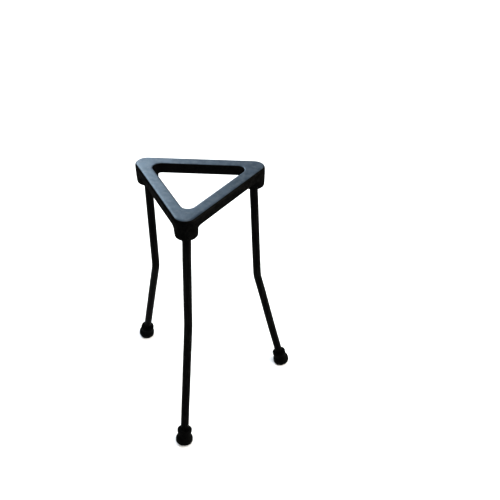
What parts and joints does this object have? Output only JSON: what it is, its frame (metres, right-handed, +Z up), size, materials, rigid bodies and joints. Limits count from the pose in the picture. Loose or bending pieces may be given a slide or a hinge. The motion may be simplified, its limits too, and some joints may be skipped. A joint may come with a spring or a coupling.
{
  "type": "lab tripod stand",
  "caption": "Laboratory tripod stand: a cast triangular frame on bent steel rod legs with rubber feet, holding glassware over a burner.",
  "frame": {"origin": "middle of the stand's footprint, at the height of the bench that its feet stand on", "axes": "+Z up through the top face, -Y towards the front leg, +X towards the right leg; the frame's back rail runs along X"},
  "size_m": [0.1626, 0.1555, 0.23],
  "materials": {
    "frame_paint": "satin black paint over a fine sand-cast surface",
    "leg_paint": "satin black paint on drawn steel rod",
    "foot_rubber": "smooth moulded black rubber"
  },
  "bodies": {
    "root": {"top_frame": "frame_paint", "leg_front": "leg_paint", "leg_left": "leg_paint", "leg_right": "leg_paint", "foot_front": "foot_rubber", "foot_left": "foot_rubber", "foot_right": "foot_rubber"}
  },
  "joints": []
}
